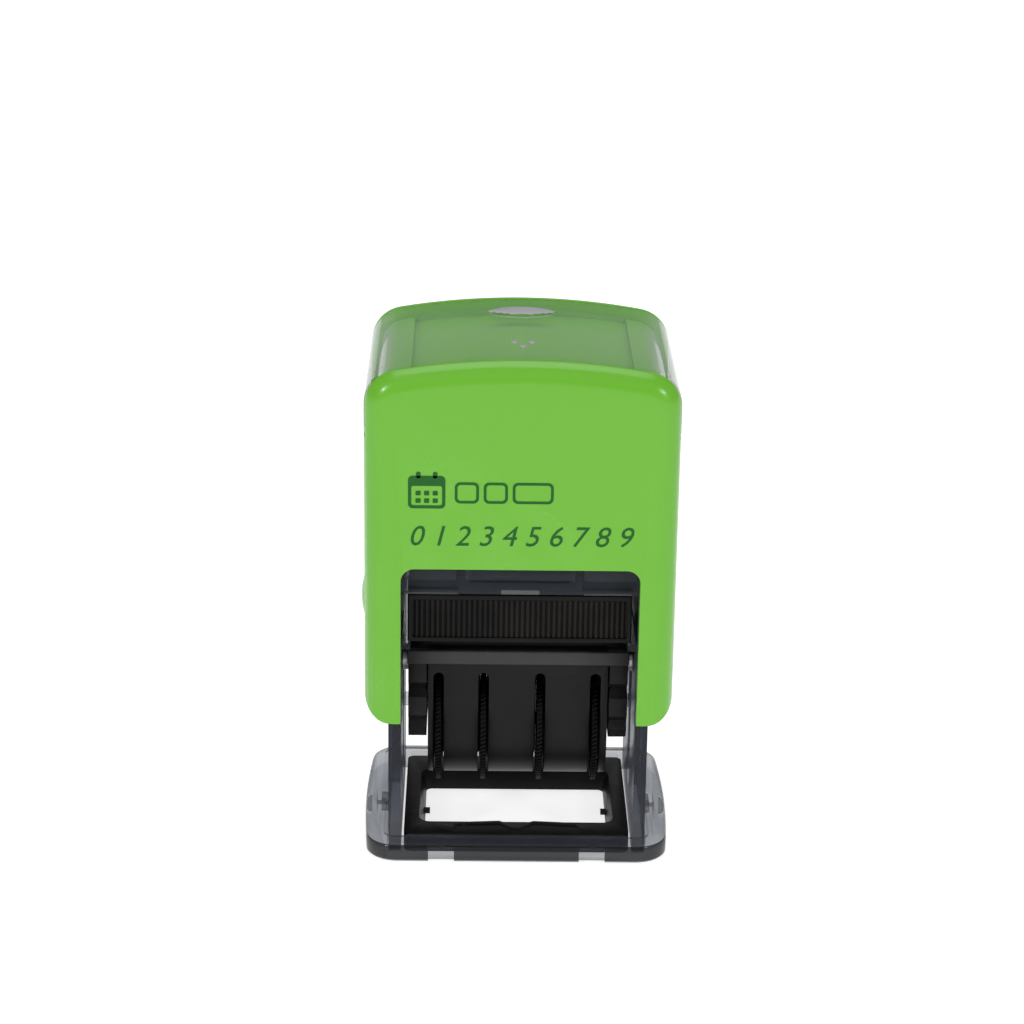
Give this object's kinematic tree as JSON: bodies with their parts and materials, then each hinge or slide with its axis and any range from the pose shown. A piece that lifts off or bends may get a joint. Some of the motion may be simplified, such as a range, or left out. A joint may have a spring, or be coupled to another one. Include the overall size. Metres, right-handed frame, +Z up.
{
  "type": "rotary date stamp",
  "caption": "Self-inking mini date stamp: arched housing presses down over a clear frame and flips the banded dater from its slide-out ink pad to the print window in the foot.",
  "frame": {"origin": "centre of the foot, on the surface the stamp stands on", "axes": "+Z up along the press stroke, +X to the right seen from the front, front faces -Y"},
  "size_m": [0.0356, 0.027, 0.0582],
  "materials": {
    "green_shell": "glossy moulded plastic",
    "clear_cover": "clear moulded plastic",
    "smoke_plastic": "see-through smoke grey plastic",
    "black_plastic": "satin black plastic",
    "spring_steel": "drawn steel wire and pins",
    "ink_felt": "felt soaked with black ink",
    "band_rubber": "moulded rubber date band"
  },
  "bodies": {
    "stand": {"inner_frame": "smoke_plastic", "foot_frame": "smoke_plastic", "base_insert": "black_plastic", "return_spring": "spring_steel"},
    "housing": {"outer_housing": "green_shell", "pivot_pin_left": "spring_steel", "pivot_pin_right": "spring_steel"},
    "cover": {"index_cover": "clear_cover"},
    "left_button": {"lock_button_left": "green_shell"},
    "right_button": {"lock_button_right": "green_shell"},
    "cartridge": {"ink_cartridge": "black_plastic", "ink_pad": "ink_felt"},
    "dater": {"date_carriage": "black_plastic", "platen_bar": "black_plastic", "band_cover": "black_plastic", "flip_cam_left": "black_plastic", "flip_cam_right": "black_plastic", "wheel_axle": "spring_steel", "day_tens_band": "band_rubber", "day_units_band": "band_rubber", "month_band": "band_rubber", "year_band": "band_rubber"},
    "day_tens_finger_wheel": {"day_tens_wheel": "black_plastic"},
    "day_units_finger_wheel": {"day_units_wheel": "black_plastic"},
    "month_finger_wheel": {"month_wheel": "black_plastic"},
    "year_finger_wheel": {"year_wheel": "black_plastic"}
  },
  "joints": [
    {"name": "press_stroke", "type": "slide", "parent": "stand", "child": "housing", "axis": [0, 0, -1], "range_m": [0, 0.014], "stiffness_N_per_m": 250, "springref_m": -0.008, "deforming": ["return_spring"]},
    {"name": "dater_flip", "type": "hinge", "parent": "housing", "child": "dater", "pos_m": [0, -0.0008, 0.01965], "axis": [1, 0, 0], "range_deg": [0, 180]},
    {"name": "lock_button_left_press", "type": "slide", "parent": "housing", "child": "left_button", "axis": [1, 0, 0], "range_m": [0, 0.0006], "stiffness_N_per_m": 400, "springref_m": -0.0006},
    {"name": "lock_button_right_press", "type": "slide", "parent": "housing", "child": "right_button", "axis": [-1, 0, 0], "range_m": [0, 0.0006], "stiffness_N_per_m": 400, "springref_m": -0.0006},
    {"name": "ink_cartridge_slide", "type": "slide", "parent": "stand", "child": "cartridge", "axis": [0, -1, 0], "range_m": [0, 0.024]},
    {"name": "index_cover_lift", "type": "slide", "parent": "housing", "child": "cover", "axis": [0, 0, 1], "range_m": [0, 0.012]},
    {"name": "day_tens_turn", "type": "hinge", "parent": "dater", "child": "day_tens_finger_wheel", "pos_m": [0, -0.0008, 0.0121], "axis": [1, 0, 0], "continuous": true},
    {"name": "day_units_turn", "type": "hinge", "parent": "dater", "child": "day_units_finger_wheel", "pos_m": [0, -0.0008, 0.0121], "axis": [1, 0, 0], "continuous": true},
    {"name": "month_turn", "type": "hinge", "parent": "dater", "child": "month_finger_wheel", "pos_m": [0, -0.0008, 0.0121], "axis": [1, 0, 0], "continuous": true},
    {"name": "year_turn", "type": "hinge", "parent": "dater", "child": "year_finger_wheel", "pos_m": [0, -0.0008, 0.0121], "axis": [1, 0, 0], "continuous": true}
  ],
  "couplings": [
    {"joint": "dater_flip", "follows": "press_stroke", "rad_per_m": 224.4}
  ]
}
